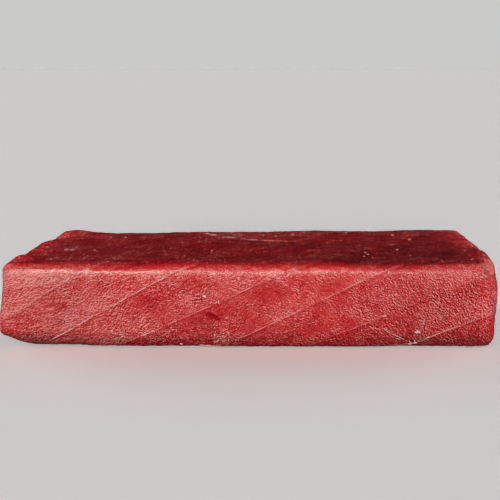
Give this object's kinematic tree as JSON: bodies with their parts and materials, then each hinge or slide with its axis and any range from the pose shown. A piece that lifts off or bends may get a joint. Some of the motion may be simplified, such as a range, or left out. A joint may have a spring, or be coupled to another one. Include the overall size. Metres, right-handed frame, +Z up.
{
  "type": "raw tuna steak",
  "caption": "Rectangular block of raw red tuna loin with softly rounded cut edges, lying flat on its widest face.",
  "frame": {"origin": "on the flat base, under the middle of the block's bounding box", "axes": "+X along the block towards its squarer end, +Y from its front cut face to its back cut face, +Z up"},
  "size_m": [0.1926, 0.071, 0.0337],
  "materials": {
    "raw_flesh": "moist raw red flesh, satin, with thin pale lines between its muscle layers"
  },
  "bodies": {
    "root": {"tuna_block": "raw_flesh"}
  },
  "joints": []
}
